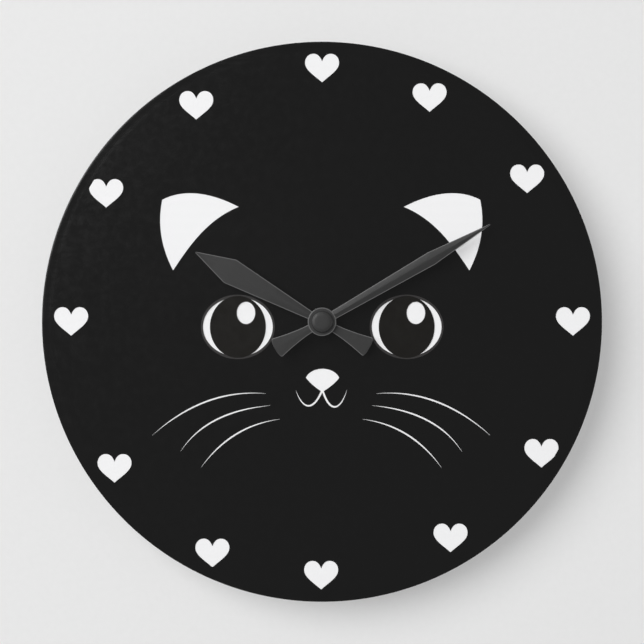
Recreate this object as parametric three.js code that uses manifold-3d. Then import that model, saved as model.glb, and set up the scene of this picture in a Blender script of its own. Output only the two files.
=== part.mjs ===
// A round wall clock: a printed acrylic dial with a cat's face, two spade hands,
// and a battery quartz movement behind it that hangs on a nail.
// Millimetres. The dial faces -Y, +X is to the right of someone reading the clock, +Z is up.
// The hands' arbor runs along Y through x = 0, z = 0, and y = 0 is the wall.
import * as THREE from "three";
import { mergeVertices } from "three/addons/utils/BufferGeometryUtils.js";
import Module from "manifold-3d";

const wasm = await Module();
wasm.setup();

// ---- Driving dimensions -----------------------------------------------------------------

const DIAL_R = 136.5; // 10.75 inch dial
const DIAL_BACK = -17.4;
const DIAL_FACE = -21.7;
const DIAL_LIP = 0.25; // the rim stands this far above the face
const DIAL_BORE_R = 4.3;

const PRINT_R = 132.2;
const PRINT_BORE_R = 7.5;
const PRINT_COAT = 0.12; // each pass of ink
const PRINT_STEP = 0.18; // from one pass to the next
const HEART_W = 8.3; // half width
const HEART_TOP = 5.85; // above the heart's centre of area
const HEART_TIP = -8.1;
// The hour hearts stand a little unevenly: degrees clockwise from twelve, and radius.
const HOUR_HEARTS = [
  [0, 124.8], [25.4, 122.2], [54.7, 122.5], [89.4, 122.3], [120.5, 124.1], [149, 121.6],
  [180.2, 122.4], [205.6, 123.7], [235.2, 123.2], [270.6, 122.3], [301.2, 123], [330.1, 123],
];

const EYE_X = [-41, 41.25];
const EYE_Z = -2.5;
const EYE_WHITE = [17.0, 14.4]; // half width, half height
const EYE_RIM = [18.0, 15.7];
const EYE_IRIS = [13.62, 15.1];
const GLINT_X = [3.95, 4.5]; // from the middle of each eye
const EYE_GLINT = { z: 6.8, a: 4.48, b: 5.4 };
const FACE_AXIS = -0.4; // the ears and whiskers mirror about this x

const MINUTE_ANGLE = 59.95; // degrees clockwise from twelve
const HOUR_ANGLE = 298.8;
const MINUTE_HAND = { tip: 93.8, shoulder: 61, half: 3.4, y: -29.0 };
const HOUR_HAND = { tip: 69.9, shoulder: 50.4, half: 6.3, y: -26.4 };
const HAND_ROOT = 2.1; // half width where a blade leaves the hub
const HAND_THICKNESS = 0.6;
const HAND_TAIL = 26.2;
const HAND_HUB_R = 6.85;
const CAP_R = 5.2;

// The movement. Wheel positions are [x, z]; each distance is half the sum of the pitch circles.
const CASE = { half: 28, top: 27.5, bottom: -28.5, front: -16.4, wall: 1.2 };
const DIVIDER_Z = -11.2; // top of the battery bay
const CELL = { r: 7.25, x0: -24.2, x1: 24.4, y: -7.6, z: -19.1 };

const CENTRE = [0, 0];
const THIRD = polar(CENTRE, 8.64, 35);
const FIFTH = polar(CENTRE, 8.88, 125);
const ROTOR = polar(FIFTH, 6.3, 150);
const MOTION = polar(CENTRE, 7.2, 180);
const SETTING = polar(MOTION, 7.2, 180);
const POSTS = [[-18.2, 12], [6, 15], [9, -6.2]]; // they carry the train plate
const PLATE_Y = [-3.6, -2.8];

// ---- Helpers ----------------------------------------------------------------------------

function polar([x, z], distance, degrees) {
  const a = THREE.MathUtils.degToRad(degrees);
  return [x + distance * Math.cos(a), z + distance * Math.sin(a)];
}

// A closed geometry as a solid for joining and cutting.
function solid(geometry) {
  const g = geometry.clone();
  g.deleteAttribute("normal");
  g.deleteAttribute("uv");
  const merged = mergeVertices(g, 1e-4);
  return new wasm.Manifold(
    new wasm.Mesh({
      numProp: 3,
      vertProperties: merged.getAttribute("position").array,
      triVerts: new Uint32Array(merged.index.array),
    }),
  );
}

const join = (...solids) => solids.reduce((a, b) => a.add(b));
const cut = (body, ...tools) => tools.reduce((a, b) => a.subtract(b), body);

function geometryOf(body) {
  const { vertProperties, triVerts } = body.getMesh();
  const g = new THREE.BufferGeometry();
  g.setAttribute("position", new THREE.BufferAttribute(new Float32Array(vertProperties), 3));
  g.setIndex([...triVerts]);
  g.computeVertexNormals();
  return g;
}

// An outline drawn in x and z as seen from the front, filled from y0 back to y1.
function plate(shape, y0, y1, curveSegments = 12) {
  const g = new THREE.ExtrudeGeometry(shape, { depth: y1 - y0, bevelEnabled: false, curveSegments });
  return solid(g.rotateX(Math.PI / 2).translate(0, y1, 0));
}

function box(x0, x1, y0, y1, z0, z1) {
  const g = new THREE.BoxGeometry(x1 - x0, y1 - y0, z1 - z0);
  return solid(g.translate((x0 + x1) / 2, (y0 + y1) / 2, (z0 + z1) / 2));
}

function rod(r, y0, y1, [x, z] = CENTRE, sides = 24) {
  const g = new THREE.CylinderGeometry(r, r, y1 - y0, sides);
  return solid(g.translate(x, (y0 + y1) / 2, z));
}

const ring = (r, bore, y0, y1, at = CENTRE, sides = 24) =>
  cut(rod(r, y0, y1, at, sides), rod(bore, y0 - 1, y1 + 1, at, sides));

// A profile of [radius, y] points from the front to the back, turned about the Y axis.
function turned(profile, sides, [x, z] = CENTRE) {
  const g = new THREE.LatheGeometry(profile.map(([r, y]) => new THREE.Vector2(r, y)), sides);
  return solid(g.translate(x, 0, z));
}

function rodX(r, x0, x1, y, z, sides = 24) {
  const g = new THREE.CylinderGeometry(r, r, x1 - x0, sides).rotateZ(Math.PI / 2);
  return solid(g.translate((x0 + x1) / 2, y, z));
}

const outline = (points) => new THREE.Shape(points.map(([x, z]) => new THREE.Vector2(x, z)));

function ellipse(x, z, a, b) {
  const s = new THREE.Shape();
  s.absellipse(x, z, a, b, 0, 2 * Math.PI);
  return s;
}

function roundedRect(x0, x1, z0, z1, r) {
  const s = new THREE.Shape();
  s.moveTo(x0 + r, z0).lineTo(x1 - r, z0).quadraticCurveTo(x1, z0, x1, z0 + r);
  s.lineTo(x1, z1 - r).quadraticCurveTo(x1, z1, x1 - r, z1);
  s.lineTo(x0 + r, z1).quadraticCurveTo(x0, z1, x0, z1 - r);
  s.lineTo(x0, z0 + r).quadraticCurveTo(x0, z0, x0 + r, z0);
  return s;
}

const group = new THREE.Group();

function add(name, body, color, roughness, metalness = 0) {
  const material = new THREE.MeshStandardMaterial({ color, roughness, metalness });
  const mesh = new THREE.Mesh(geometryOf(body), material);
  mesh.name = name;
  group.add(mesh);
}

// ---- The dial and its print -------------------------------------------------------------

function dialDisc() {
  const lip = DIAL_FACE - DIAL_LIP;
  return turned(
    [
      [DIAL_BORE_R, DIAL_FACE],
      [132.6, DIAL_FACE],
      [134.8, lip],
      [DIAL_R - 0.6, lip],
      [DIAL_R, lip + 0.6],
      [DIAL_R, DIAL_BACK - 0.6],
      [DIAL_R - 0.6, DIAL_BACK],
      [DIAL_BORE_R, DIAL_BACK],
      [DIAL_BORE_R, DIAL_FACE],
    ],
    72,
  );
}

function heart(x, z) {
  const s = new THREE.Shape();
  const top = z + HEART_TOP;
  s.moveTo(x, top - 3.7);
  for (const side of [1, -1]) {
    const w = side * HEART_W;
    if (side === 1) {
      s.bezierCurveTo(x + 0.9, top - 1.2, x + 2.3, top, x + 4.15, top);
      s.bezierCurveTo(x + 6.6, top, x + w, top - 1.9, x + w, top - 4.4);
      s.bezierCurveTo(x + w, top - 8, x + 4, top - 10.4, x, z + HEART_TIP);
    } else {
      s.bezierCurveTo(x - 4, top - 10.4, x + w, top - 8, x + w, top - 4.4);
      s.bezierCurveTo(x + w, top - 1.9, x - 6.6, top, x - 4.15, top);
      s.bezierCurveTo(x - 2.3, top, x - 0.9, top - 1.2, x, top - 3.7);
    }
  }
  return s;
}

const hourHearts = () =>
  HOUR_HEARTS.map(([degrees, radius]) => heart(...polar(CENTRE, radius, 90 - degrees)));

// side -1 is the ear on the left, 1 the one on the right.
function ear(side) {
  const X = (x) => FACE_AXIS - side * x;
  const s = new THREE.Shape();
  s.moveTo(X(-77.5), 59.5);
  s.bezierCurveTo(X(-65.4), 65.8, X(-51.3), 61.8, X(-40.2), 56);
  s.bezierCurveTo(X(-55.1), 50, X(-63.8), 37.8, X(-72.2), 25);
  s.bezierCurveTo(X(-77.9), 35.9, X(-80), 47.4, X(-77.5), 59.5);
  return s;
}

function nose() {
  const s = new THREE.Shape();
  s.moveTo(-7.9, -27.2);
  s.bezierCurveTo(-5.1, -21.5, 5.6, -21.4, 8.4, -27.3);
  s.bezierCurveTo(6.6, -29.7, 3.6, -32.2, 0.15, -34.2);
  s.bezierCurveTo(-3, -32.3, -6, -29.8, -7.9, -27.2);
  return s;
}

// A pen stroke along a curve, its width following a function of the way along, 0 to 1.
function stroke(curve, halfWidth, steps) {
  const left = [];
  const right = [];
  for (let i = 0; i <= steps; i++) {
    const t = i / steps;
    const p = curve.getPoint(t);
    const d = curve.getTangent(t);
    const w = halfWidth(t);
    left.push([p.x - d.y * w, p.y + d.x * w]);
    right.unshift([p.x + d.y * w, p.y - d.x * w]);
  }
  return outline([...left, ...right]);
}

function bezier(points) {
  return new THREE.CubicBezierCurve(...points.map(([x, z]) => new THREE.Vector2(x, z)));
}

function mouth() {
  const taper = (t) => 0.05 + 0.42 * (1 - t ** 2.2) ** 0.8;
  const left = bezier([[0, -33.5], [-3.7, -42.5], [-8.8, -44.3], [-12.7, -33.6]]);
  const right = bezier([[0.3, -33.5], [3.8, -44.8], [9, -43.5], [12.1, -33.3]]);
  return [stroke(left, taper, 8), stroke(right, taper, 8)];
}

function whiskers(side) {
  const spindle = (t) => 0.04 + 0.34 * Math.sin(Math.PI * t) ** 0.9;
  const curves = [
    [[-26.9, -35], [-48.4, -33.1], [-66.7, -41.3], [-82.4, -55.4]],
    [[-24.8, -40.8], [-41.8, -42.4], [-58.7, -47.9], [-68.6, -63.3]],
    [[-20.1, -47.5], [-36.5, -49.5], [-49.2, -57.9], [-58.7, -71.2]],
  ];
  return curves.map((points) =>
    stroke(bezier(points.map(([x, z]) => [FACE_AXIS - side * x, z])), spindle, 7),
  );
}

// Where each pass of ink lies: 1 is the white, 2 the black and 3 the eyes.
const inkLayer = (pass) => [DIAL_FACE - pass * PRINT_STEP, DIAL_FACE - pass * PRINT_STEP + PRINT_COAT];

// The print is white first, then black over it with the picture left open.
const whitePrint = () => ring(PRINT_R, PRINT_BORE_R, ...inkLayer(1), CENTRE, 48);

function blackPrint() {
  const [y0, y1] = inkLayer(2);
  const open = (shape, segments) => plate(shape, y0 - 1, y1 + 1, segments);
  const picture = [
    ...hourHearts().map((s) => open(s, 4)),
    ...[-1, 1].map((side) => open(ear(side), 6)),
    ...EYE_X.map((x) => open(ellipse(x, EYE_Z, ...EYE_WHITE), 28)),
    open(nose(), 5),
    ...mouth().map((s) => open(s)),
    ...[-1, 1].flatMap((side) => whiskers(side).map((s) => open(s))),
  ];
  return cut(ring(PRINT_R, PRINT_BORE_R, y0, y1, CENTRE, 48), ...picture);
}

// The rim of the eye and the iris, joined above and below, with the glint left open.
function eyePrint(x, gx) {
  const [y0, y1] = inkLayer(3);
  const rim = plate(ellipse(x, EYE_Z, ...EYE_RIM), y0, y1, 28);
  const white = plate(ellipse(x, EYE_Z, ...EYE_WHITE), y0 - 1, y1 + 1, 28);
  const iris = plate(ellipse(x, EYE_Z, ...EYE_IRIS), y0, y1, 24);
  const { z: gz, a, b } = EYE_GLINT;
  const glint = plate(ellipse(x + gx, EYE_Z + gz, a, b), y0 - 1, y1 + 1, 16);
  return cut(join(cut(rim, white), iris), glint);
}

// ---- The hands --------------------------------------------------------------------------

// Half the hand's width at a distance along it from the arbor, the tail being negative.
function handOutline({ tip, shoulder, half }) {
  const stations = [
    [-HAND_TAIL, 2.4],
    [-25.7, 4.1],
    [-24.6, 4.95],
    [-22.8, 4.55],
  ];
  for (const s of [19, 15, 11, 7]) {
    const t = (s - 7) / 17.6;
    stations.push([-s, HAND_ROOT + 2.8 * t ** 1.5]);
  }
  stations.push([0, HAND_ROOT], [7, HAND_ROOT]);
  for (const t of [0.5, 0.95]) {
    stations.push([7 + (shoulder - 7) * t, HAND_ROOT + (half - HAND_ROOT) * t]);
  }
  stations.push([shoulder, half], [shoulder + 1.4, half * 0.96]);
  stations.push([(shoulder + 1.4 + tip) / 2, half * 0.48 + 0.15], [tip, 0.3]);
  return stations;
}

// A stamped blade with a ridge down its middle, along +Z from the arbor.
function blade(hand) {
  const stations = handOutline(hand);
  const back = hand.y;
  const edge = back - 0.22;
  const ridge = back - HAND_THICKNESS;
  const at = [];
  for (const [z, w] of stations) {
    at.push([-w, back, z], [-w, edge, z], [0, ridge, z], [w, edge, z], [w, back, z]);
  }
  const n = 5;
  const faces = [];
  for (let i = 0; i + 1 < stations.length; i++) {
    for (let k = 0; k < n; k++) {
      const a = i * n + k;
      const b = i * n + ((k + 1) % n);
      faces.push(a, b, b + n, a, b + n, a + n);
    }
  }
  const last = (stations.length - 1) * n;
  for (let k = 1; k + 1 < n; k++) faces.push(0, k + 1, k, last, last + k, last + k + 1);
  const g = new THREE.BufferGeometry();
  g.setAttribute("position", new THREE.Float32BufferAttribute(at.flat(), 3));
  g.setIndex(faces);
  return g;
}

function handSolid(hand, degrees, bore) {
  const turn = THREE.MathUtils.degToRad(degrees);
  const body = solid(blade(hand).rotateY(turn));
  const hub = rod(HAND_HUB_R, hand.y - HAND_THICKNESS - 0.05, hand.y, CENTRE, 40);
  return cut(join(body, hub), rod(bore, hand.y - 2, hand.y + 1));
}

// The nut that holds the minute hand: a low dome over the end of the arbor.
function handCap() {
  return turned(
    [
      [0, -32.3],
      [2.2, -32.2],
      [3.9, -31.8],
      [CAP_R - 0.3, -31.1],
      [CAP_R, -30.6],
      [CAP_R, -29.75],
      [1.95, -29.75],
      [1.95, -31.3],
      [0, -31.3],
    ],
    28,
  );
}

// ---- Wheels -----------------------------------------------------------------------------

// A toothed outline: trapezium teeth, the first one centred on the angle phase (radians).
function gear(teeth, module, phase) {
  const pitch = (2 * Math.PI) / teeth;
  const r = (teeth * module) / 2;
  const tip = r + 0.75 * module;
  const root = r - 1.05 * module;
  const points = [];
  for (let i = 0; i < teeth; i++) {
    const a = phase + i * pitch;
    for (const [radius, share] of [[root, -0.27], [tip, -0.11], [tip, 0.11], [root, 0.27]]) {
      points.push([radius * Math.cos(a + share * pitch), radius * Math.sin(a + share * pitch)]);
    }
  }
  return points;
}

function toothed([x, z], teeth, module, phase, y0, y1) {
  return plate(outline(gear(teeth, module, phase).map(([u, v]) => [x + u, z + v])), y0, y1);
}

// The phase that puts wheel B in mesh with wheel A.
function meshed(a, teethA, phaseA, b, teethB) {
  const line = Math.atan2(b[1] - a[1], b[0] - a[0]);
  const turnsA = ((line - phaseA) * teethA) / (2 * Math.PI);
  return line + Math.PI - ((0.5 - turnsA) * 2 * Math.PI) / teethB;
}

function wheelTrain() {
  const fifthPhase = meshed(ROTOR, 6, 0, FIFTH, 36);
  const secondPhase = meshed(FIFTH, 8, 0, CENTRE, 40);
  const thirdPhase = meshed(CENTRE, 8, 0, THIRD, 60);
  const centrePhase = meshed(THIRD, 8, 0, CENTRE, 64);
  const motionPhase = meshed(CENTRE, 12, 0, MOTION, 36);
  const settingPhase = meshed(MOTION, 36, motionPhase, SETTING, 12);
  const hourPhase = meshed(MOTION, 10, 0, CENTRE, 40);

  add("rotor_pinion", join(
    cut(toothed(ROTOR, 6, 0.3, 0, -5.3, -3.95), rod(0.2, -6, -3, ROTOR, 12)),
    cut(rod(0.4, -14.9, -5.2, ROTOR, 12), rod(0.2, -5.25, -5, ROTOR, 12)),
    rod(0.25, -5.4, -2.9, ROTOR, 12),
  ), 0xe9e4d4, 0.45);
  add("rotor_magnet", ring(2.9, 0.6, -9.6, -6.4, ROTOR, 28), 0x3c3d40, 0.4, 0.7);

  add("fifth_wheel", join(
    toothed(FIFTH, 36, 0.3, fifthPhase, -5.0, -4.2),
    toothed(FIFTH, 8, 0.37, 0, -7.0, -4.9),
    rod(0.5, -14.9, -2.9, FIFTH, 12),
  ), 0xf2f0ea, 0.5);

  add("second_wheel", join(
    toothed(CENTRE, 40, 0.37, secondPhase, -6.8, -6.0),
    toothed(CENTRE, 8, 0.2541, 0, -9.2, -6.7),
    rod(0.5, -30.8, -2.9, CENTRE, 12),
  ), 0xf2f0ea, 0.5);

  add("third_wheel", join(
    toothed(THIRD, 60, 0.2541, thirdPhase, -8.8, -8.0),
    toothed(THIRD, 8, 0.24, 0, -11.5, -8.7),
    rod(0.5, -14.9, -2.9, THIRD, 12),
  ), 0xf2f0ea, 0.5);

  add("centre_wheel", cut(
    toothed(CENTRE, 64, 0.24, centrePhase, -11.2, -10.4),
    rod(1.4, -12, -10),
  ), 0xf2f0ea, 0.5);
  add("clutch_spring", ring(2.3, 1.15, -10.2, -9.95), 0xc9a24b, 0.35, 0.9);

  add("minute_arbor", cut(
    join(
      toothed(CENTRE, 12, 0.3, 0, -12.8, -12.0),
      rod(1.4, -13.1, -12.7),
      rod(1.7, -31.0, -13.0),
      rod(1.1, -12.1, -9.9),
    ),
    rod(0.8, -32, -9),
  ), 0xf2f0ea, 0.5);

  add("motion_wheel", cut(
    join(
      toothed(MOTION, 36, 0.3, motionPhase, -12.8, -12.0),
      toothed(MOTION, 10, 0.288, 0, -14.2, -12.7),
    ),
    rod(0.85, -15, -11, MOTION, 16),
  ), 0xf2f0ea, 0.5);

  add("hour_wheel", cut(
    join(
      toothed(CENTRE, 40, 0.288, hourPhase, -14.2, -13.2),
      rod(2.7, -27.8, -13.3),
    ),
    rod(2.0, -29, -13),
  ), 0xf2f0ea, 0.5);

  add("setting_knob", join(
    toothed(SETTING, 12, 0.3, settingPhase, -12.8, -12.0),
    rod(1.0, -14.9, -2.8, SETTING, 16),
    settingKnob(),
  ), 0xe6e4df, 0.5);
}

// A knurled thumb wheel, sunk in the back of the movement.
function settingKnob() {
  const notches = 16;
  const points = [];
  for (let i = 0; i < 2 * notches; i++) {
    const r = i % 2 ? 5.6 : 6.0;
    const a = (i * Math.PI) / notches;
    points.push([SETTING[0] + r * Math.cos(a), SETTING[1] + r * Math.sin(a)]);
  }
  const grip = box(SETTING[0] - 4.2, SETTING[0] + 4.2, -1.3, -0.3, SETTING[1] - 0.7, SETTING[1] + 0.7);
  return join(plate(outline(points), -2.9, -1.2), grip);
}

// ---- The movement's case ----------------------------------------------------------------

function hangingLoop() {
  const s = new THREE.Shape();
  s.moveTo(-15, 26.6).lineTo(15, 26.6).lineTo(13.4, 34.5);
  s.quadraticCurveTo(12.6, 38.4, 8.6, 38.5);
  s.lineTo(-8.6, 38.5).quadraticCurveTo(-12.6, 38.4, -13.4, 34.5);
  const slot = new THREE.Path();
  slot.moveTo(-8, 30.6).lineTo(-8, 34.2).quadraticCurveTo(-8, 35.4, -6.8, 35.4);
  slot.lineTo(-2, 35.4).quadraticCurveTo(0, 37.2, 2, 35.4);
  slot.lineTo(6.8, 35.4).quadraticCurveTo(8, 35.4, 8, 34.2);
  slot.lineTo(8, 30.6);
  s.holes.push(slot);
  return plate(s, -3.2, 0, 6);
}

function caseFront() {
  const { half, top, bottom, front, wall } = CASE;
  const inner = half - wall;
  const floor = front + wall;
  const shell = plate(roundedRect(-half, half, bottom, top, 3), front, 0, 4);
  const chamber = box(-inner, inner, floor, 1, DIVIDER_Z + wall, top - wall);
  const bay = box(-inner, inner, floor, 1, bottom + wall + 0.3, DIVIDER_Z);
  const thumbNotch = box(-8, 8, -7, 1, bottom - 1, bottom + wall + 1);
  const strapSlot = (x) => box(x - 0.5, x + 0.5, -9.3, -5.1, DIVIDER_Z - 1, DIVIDER_Z + wall + 1);
  const hollow = cut(
    shell, chamber, bay, thumbNotch, strapSlot(26.1), strapSlot(-26.2), rod(4.3, -17, -14),
  );
  const standing = [
    ...POSTS.map((at) => rod(1.1, floor - 0.5, PLATE_Y[0] - 0.1, at, 14)),
    rod(0.6, floor - 0.5, -11.9, MOTION, 14), // the motion wheel turns on this
    rod(0.9, floor - 0.5, -5.4, [22.8, 17.8], 12), // circuit board pegs
    rod(0.9, floor - 0.5, -5.4, [9.6, 23.2], 12),
    box(-16, -8, floor - 0.5, -1.6, 25.5, top - wall + 0.4), // ledges under the cover
    box(14, 22, floor - 0.5, -1.6, 25.5, top - wall + 0.4),
    box(-7, 7, floor - 0.5, -1.6, DIVIDER_Z + wall - 0.4, -9.1),
  ];
  const sockets = [THIRD, FIFTH, ROTOR, SETTING].map((at) =>
    ring(1.8, at === SETTING ? 1.3 : 0.8, floor - 0.05, -14.5, at, 16),
  );
  return join(hollow, hangingLoop(), ...standing, ...sockets);
}

// The cover drops inside the walls; its round well holds the setting knob.
function rearCover() {
  const { half, top, wall } = CASE;
  const inner = half - wall - 0.3;
  const edge = roundedRect(-inner, inner, DIVIDER_Z + wall + 0.3, top - wall - 0.3, 1.5);
  const sheet = plate(edge, -1.3, 0, 4);
  const well = rod(7.3, -3.8, -0.5, SETTING, 32);
  const hollow = rod(6.6, -3.2, 1, SETTING, 32);
  return cut(join(sheet, well), hollow, rod(1.3, -5, 0, SETTING, 16));
}

function trainPlate() {
  const edge = outline([
    [-20, 10.4], [-11.6, 8.4], [-6.2, 2.9], [-2.6, -2.4], [7.2, -8.3], [11, -8.3],
    [11.4, 5], [8.2, 16.8], [3.6, 17], [-17, 14.4], [-20, 14],
  ]);
  const pivots = [CENTRE, THIRD, FIFTH, ROTOR].map((at) => rod(0.8, -4, -2, at, 12));
  return cut(plate(edge, ...PLATE_Y), ...pivots);
}

// Brass, moulded into the case from behind and holding the dial against it.
function bushing() {
  return cut(
    join(rod(5.6, -15.1, -14.55, CENTRE, 6), rod(4.0, -25.4, -15.0, CENTRE, 32)),
    rod(3.0, -27, -14, CENTRE, 24),
  );
}

function hexNut() {
  return cut(rod(5.6, -24.6, -22.45, CENTRE, 6), rod(4.15, -26, -21, CENTRE, 32));
}

// ---- The motor and the electronics ------------------------------------------------------

function stator() {
  const frame = outline([
    [-21.2, 5.8], [-7, 5.8], [-6.6, 9.6], [2.4, 13.6], [2.4, 23.4], [-1.2, 23.4],
    [-1.2, 21.2], [-17.6, 21.2], [-17.6, 23.4], [-21.2, 23.4],
  ]);
  const window = box(-17.6, -1.2, -12, -6, 15.6, 19.2);
  return cut(
    plate(frame, -9, -8), window,
    rod(3.3, -12, -6, ROTOR, 28), rod(1.45, -12, -6, POSTS[0], 14),
  );
}

function coilBobbin() {
  const [y, z] = [-8.5, 20.2];
  return cut(
    join(
      rodX(3.6, -17.2, -16.4, y, z), rodX(2.1, -16.6, -2.2, y, z), rodX(3.6, -2.4, -1.6, y, z),
    ),
    box(-18, 0, y - 0.8, y + 0.8, z - 1.3, z + 1.3),
  );
}

function coilWinding() {
  const [y, z] = [-8.5, 20.2];
  return cut(rodX(3.3, -16.1, -2.7, y, z), rodX(2.3, -17, -2, y, z));
}

function circuitBoard() {
  const sheet = box(7.5, 25.5, -7.0, -6.0, 15.5, 25.2);
  return cut(sheet, rod(1.2, -8, -5, [22.8, 17.8], 12), rod(1.2, -8, -5, [9.6, 23.2], 12));
}

function chipBlob() {
  return turned([[0, -5.95], [2.6, -5.95], [2.2, -5.3], [1.3, -4.95], [0, -4.85]], 24, [16.8, 21.4]);
}

function positiveContact() {
  return join(
    box(25.9, 26.3, -11, -4.2, -24.5, -13.6),
    box(25.9, 26.3, -9, -5.4, -14, 21.5),
    box(23.4, 26.2, -5.9, -5.4, 19.6, 21.5),
  );
}

function negativeContact() {
  const x = -26.4;
  return join(
    box(x, x + 0.4, -11, -4.2, -24.5, -13.6),
    box(x, x + 0.4, -9, -5.4, -14, 25.1),
    box(x + 0.2, 8.6, -5.8, -5.45, 24.1, 24.9),
    rodX(3.0, x + 0.2, -25.4, CELL.y, CELL.z, 16),
    rodX(1.9, x + 0.5, -24.6, CELL.y, CELL.z, 16),
  );
}

// ---- The cell ---------------------------------------------------------------------------

function cellCan() {
  const { r, x0, x1, y, z } = CELL;
  return join(rodX(r - 0.35, x0, x1, y, z, 32), rodX(2.75, x1 - 0.5, x1 + 1.2, y, z, 24));
}

function cellLabel() {
  const { r, x0, x1, y, z } = CELL;
  return cut(rodX(r, x0 + 0.8, x1 - 0.8, y, z, 32), rodX(r - 0.25, x0, x1, y, z, 32));
}

// ---- The assembly -----------------------------------------------------------------------

add("dial_disc", dialDisc(), 0x1f1f1f, 0.25);
add("print_white", whitePrint(), 0xf1f1ef, 0.5);
add("print_black", blackPrint(), 0x1f1f1f, 0.35);
add("eye_print_left", eyePrint(EYE_X[0], GLINT_X[0]), 0x272523, 0.35);
add("eye_print_right", eyePrint(EYE_X[1], GLINT_X[1]), 0x272523, 0.35);

add("hour_hand", handSolid(HOUR_HAND, HOUR_ANGLE, 2.75), 0x404040, 0.4, 0.3);
add("minute_hand", handSolid(MINUTE_HAND, MINUTE_ANGLE, 1.75), 0x484848, 0.4, 0.3);
add("hand_cap", handCap(), 0x3f3f3f, 0.35, 0.3);

add("case_front", caseFront(), 0x1b1b1c, 0.55);
add("rear_cover", rearCover(), 0x1b1b1c, 0.55);
add("train_plate", trainPlate(), 0xe4e2dc, 0.5);
add("bushing", bushing(), 0xc8a24a, 0.3, 1);
add("dial_washer", ring(10, 4.3, -17.3, -16.5, CENTRE, 28), 0x202020, 0.9);
add("nut_washer", ring(6.5, 4.3, -22.35, -21.8, CENTRE, 28), 0xc8a24a, 0.3, 1);
add("hex_nut", hexNut(), 0xc8a24a, 0.3, 1);

wheelTrain();

add("stator", stator(), 0xb9bcc0, 0.35, 0.9);
add("coil_bobbin", coilBobbin(), 0xe4e2dc, 0.5);
add("coil_winding", coilWinding(), 0xb4612f, 0.35, 0.9);
add("circuit_board", circuitBoard(), 0x2f6b3c, 0.5);
add("chip_blob", chipBlob(), 0x141414, 0.3);
add("crystal_can", rodX(1.05, 10.4, 16.6, -4.85, 17.6, 20), 0xc6c8cb, 0.25, 1);
add("positive_contact", positiveContact(), 0xc9cbcd, 0.3, 1);
add("negative_contact", negativeContact(), 0xc9cbcd, 0.3, 1);
add("cell_can", cellCan(), 0xbfc1c3, 0.3, 1);
add("cell_label", cellLabel(), 0x2c2d30, 0.35);

export default group;
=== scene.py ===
import math

import bmesh
import bpy
from mathutils import Matrix, Vector


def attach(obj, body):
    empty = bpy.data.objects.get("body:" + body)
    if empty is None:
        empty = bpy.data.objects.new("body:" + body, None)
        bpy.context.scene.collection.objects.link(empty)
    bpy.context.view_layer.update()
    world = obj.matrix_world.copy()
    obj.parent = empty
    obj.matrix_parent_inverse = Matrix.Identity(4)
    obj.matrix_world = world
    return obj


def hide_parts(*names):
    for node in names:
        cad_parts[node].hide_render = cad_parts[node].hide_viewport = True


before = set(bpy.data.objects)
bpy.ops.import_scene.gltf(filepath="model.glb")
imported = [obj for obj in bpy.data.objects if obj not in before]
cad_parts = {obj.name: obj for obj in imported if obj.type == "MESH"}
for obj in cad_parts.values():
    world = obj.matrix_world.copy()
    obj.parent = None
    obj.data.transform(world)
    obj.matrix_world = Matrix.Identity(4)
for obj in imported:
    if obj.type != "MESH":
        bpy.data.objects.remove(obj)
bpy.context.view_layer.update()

# Everything below is laid out in millimetres, in the CAD's frame: the dial faces -Y and
# +Z is up. MM turns a length into Blender's metres.
MM = 0.001

# ---- Sizes that repeat the CAD's -----------------------------------------------------------

DIAL_R = 136.5
DIAL_BACK = -17.4
DIAL_FACE = -21.7
PRINT_R = 131.3
LIP_R = 135.4  # between the print and here the face dips by RIM_HOLLOW
RIM_HOLLOW = 0.02
WHITE_Y = (DIAL_FACE - 0.18, DIAL_FACE - 0.06)
BLACK_Y = (DIAL_FACE - 0.36, DIAL_FACE - 0.24)
EYE_Y = (DIAL_FACE - 0.54, DIAL_FACE - 0.42)
PRINT_BORE = 7.5

HEART_W = 8.3
HEART_TOP = 5.85
HEART_TIP = -8.1
# Each hour's heart: degrees clockwise from twelve, and radius.
HOUR_HEARTS = [
    (0, 124.8), (25.4, 122.2), (54.7, 122.5), (89.4, 122.3), (120.5, 124.1), (149, 121.6),
    (180.2, 122.4), (205.6, 123.7), (235.2, 123.2), (270.6, 122.3), (301.2, 123), (330.1, 123),
]

EYES = {"left": -41.0, "right": 41.25}
EYE_Z = -2.5
EYE_WHITE = (17.0, 14.4)
EYE_RIM = (18.0, 15.7)
EYE_IRIS = (13.62, 15.1)
GLINT = {"left": 3.95, "right": 4.5, "z": 6.8, "a": 4.48, "b": 5.4}
FACE_AXIS = -0.4

MINUTE = {"angle": 59.95, "tip": 93.8, "shoulder": 61, "half": 3.4, "y": -29.0}
HOUR = {"angle": 298.8, "tip": 69.9, "shoulder": 50.4, "half": 6.3, "y": -26.4}
HAND_ROOT = 2.1  # half width where a blade leaves the hub
HAND_TAIL = 26.3
HAND_THICKNESS = 0.6
TAIL_RIDGE = 0.2  # the ridge's height on a tail, as a share of the blade's
HUB_R = 6.85
CAP_R = 5.2

CELL = {"r": 7.25, "x0": -24.2, "x1": 24.4, "y": -7.6, "z": -19.1}
CELL_BAND = 15.0  # the light band of the cell's sleeve, from its raised end
KNOB_AT = (-14.4, 0.0)
KNOB_RIBS = 40
ARROW_R = (8.7, 9.3)
ARROW_BARB = 0.65
PANEL = (-2, 22.5, 6.5, 21.5)  # the sunk panel of the rear cover: x, then z
PANEL_DEPTH = 0.22
MARK_DEPTH = 0.35
GROOVE_START = 11.5
GROOVE_COUNT = 5
GROOVE_PITCH = 1.7
SPRING_TURNS = 3.0
SPRING_STEPS = 108

# ---- Geometry helpers ----------------------------------------------------------------------


def link(name, mesh):
    obj = bpy.data.objects.new(name, mesh)
    bpy.context.scene.collection.objects.link(obj)
    return obj


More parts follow.
